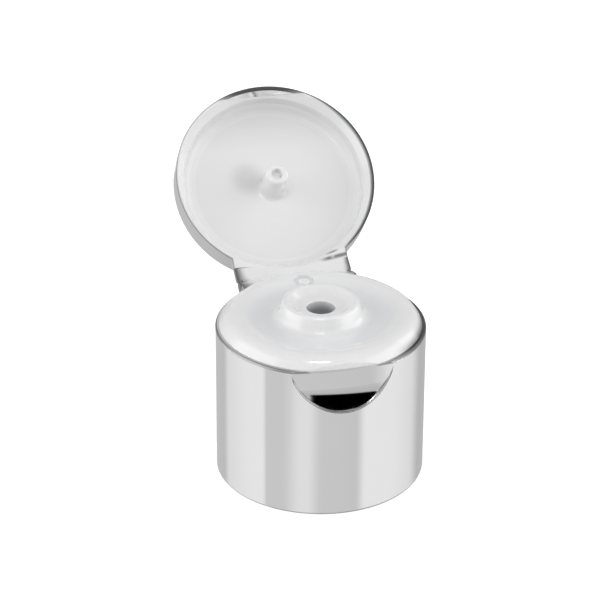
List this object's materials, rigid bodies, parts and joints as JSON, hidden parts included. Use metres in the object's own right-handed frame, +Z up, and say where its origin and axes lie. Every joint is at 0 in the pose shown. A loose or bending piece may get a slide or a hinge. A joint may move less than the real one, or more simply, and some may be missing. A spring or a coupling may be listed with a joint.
{
  "type": "flip top cap",
  "caption": "Round screw-on dispensing cap with a silvered outside, a white dished deck with a central spout, and a hinged lid with a sealing plug.",
  "frame": {"origin": "centre of the open bottom end of the neck bore, on the plane of the skirt's bottom rim", "axes": "+Z up along the neck axis, towards the spout; -Y towards the thumb scoop; +Y towards the hinge; the hinge fold line is parallel to X"},
  "size_m": [0.0276, 0.0533, 0.0389],
  "materials": {
    "white_plastic": "glossy white polypropylene",
    "silver_coat": "mirror-bright silver metallised layer"
  },
  "bodies": {
    "base": {"base_moulding": "white_plastic", "base_silver_coat": "silver_coat"},
    "lid": {"lid_moulding": "white_plastic", "lid_silver_coat": "silver_coat"}
  },
  "joints": [
    {"name": "lid_hinge", "type": "hinge", "parent": "base", "child": "lid", "pos_m": [0, 0.01503, 0.02024], "axis": [1, 0, 0], "range_deg": [-40, 138.1]}
  ]
}
